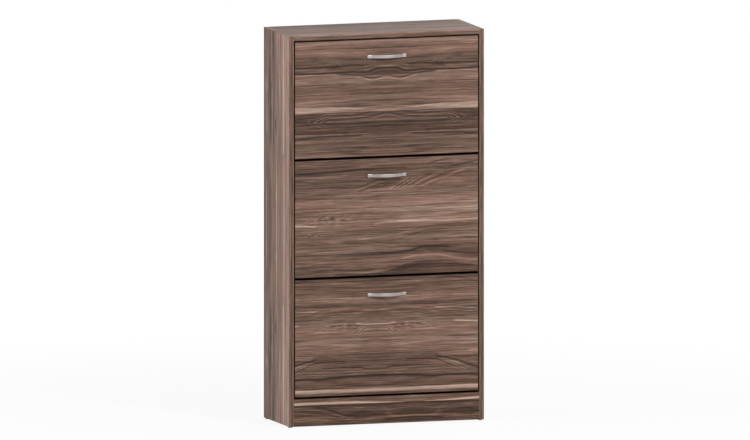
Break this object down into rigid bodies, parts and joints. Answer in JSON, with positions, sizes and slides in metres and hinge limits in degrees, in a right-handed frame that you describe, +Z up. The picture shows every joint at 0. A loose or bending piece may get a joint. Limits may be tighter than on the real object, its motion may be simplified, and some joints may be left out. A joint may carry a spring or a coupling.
{
  "type": "shoe cabinet",
  "caption": "Tall narrow shoe cabinet: a board carcass with tilting flaps, each with a bow handle and a tray that holds two rows of shoes.",
  "frame": {"origin": "on the floor, under the middle of the whole object's box, handles included", "axes": "+X to the right seen from the front, -Y out of the front, +Z up"},
  "size_m": [0.62, 0.271, 1.195],
  "materials": {
    "wood_decor_board": "satin",
    "wood_decor_band": "satin",
    "hardboard": "matte",
    "shelf_hardboard": "matte",
    "brown_plastic": "matte",
    "black_plastic": "matte",
    "satin_silver": "satin",
    "zinc_plated_steel": "satin",
    "cast_zinc": "matte",
    "beech": "matte"
  },
  "bodies": {
    "carcass": {"side_panel_left": "wood_decor_board", "side_panel_right": "wood_decor_board", "side_edge_band_left": "wood_decor_band", "side_edge_band_right": "wood_decor_band", "top_panel": "wood_decor_board", "top_edge_band": "wood_decor_band", "bottom_panel": "wood_decor_board", "plinth_panel": "wood_decor_board", "cross_rail_lower": "wood_decor_board", "cross_rail_upper": "wood_decor_board", "back_panel_lower": "hardboard", "back_panel_upper": "hardboard", "back_joiner_strip": "brown_plastic", "cam_locks": "cast_zinc", "cam_bolts": "zinc_plated_steel", "wood_dowels": "beech", "floor_glides": "black_plastic", "glide_nails": "zinc_plated_steel", "back_panel_nails": "zinc_plated_steel", "wall_brackets": "zinc_plated_steel", "wall_bracket_screws": "zinc_plated_steel", "pivot_pins": "zinc_plated_steel", "stop_pins": "zinc_plated_steel"},
    "lower_flap": {"lower_flap_panel": "wood_decor_board", "lower_flap_edge_band": "wood_decor_band", "lower_flap_handle": "satin_silver", "lower_flap_handle_screws": "zinc_plated_steel", "lower_flap_cheek_left": "black_plastic", "lower_flap_cheek_right": "black_plastic", "lower_flap_cheek_screws": "zinc_plated_steel", "lower_flap_middle_divider": "shelf_hardboard", "lower_flap_rear_divider": "shelf_hardboard", "lower_flap_front_shelf": "shelf_hardboard", "lower_flap_rear_shelf": "shelf_hardboard"},
    "middle_flap": {"middle_flap_panel": "wood_decor_board", "middle_flap_edge_band": "wood_decor_band", "middle_flap_handle": "satin_silver", "middle_flap_handle_screws": "zinc_plated_steel", "middle_flap_cheek_left": "black_plastic", "middle_flap_cheek_right": "black_plastic", "middle_flap_cheek_screws": "zinc_plated_steel", "middle_flap_middle_divider": "shelf_hardboard", "middle_flap_rear_divider": "shelf_hardboard", "middle_flap_front_shelf": "shelf_hardboard", "middle_flap_rear_shelf": "shelf_hardboard"},
    "upper_flap": {"upper_flap_panel": "wood_decor_board", "upper_flap_edge_band": "wood_decor_band", "upper_flap_handle": "satin_silver", "upper_flap_handle_screws": "zinc_plated_steel", "upper_flap_cheek_left": "black_plastic", "upper_flap_cheek_right": "black_plastic", "upper_flap_cheek_screws": "zinc_plated_steel", "upper_flap_middle_divider": "shelf_hardboard", "upper_flap_rear_divider": "shelf_hardboard", "upper_flap_front_shelf": "shelf_hardboard", "upper_flap_rear_shelf": "shelf_hardboard"}
  },
  "joints": [
    {"name": "lower_flap_tilt", "type": "hinge", "parent": "carcass", "child": "lower_flap", "pos_m": [0, -0.0915, 0.15251], "axis": [1, 0, 0], "range_deg": [0, 42]},
    {"name": "middle_flap_tilt", "type": "hinge", "parent": "carcass", "child": "middle_flap", "pos_m": [0, -0.0915, 0.51601], "axis": [1, 0, 0], "range_deg": [0, 42]},
    {"name": "upper_flap_tilt", "type": "hinge", "parent": "carcass", "child": "upper_flap", "pos_m": [0, -0.0915, 0.87951], "axis": [1, 0, 0], "range_deg": [0, 42]}
  ]
}
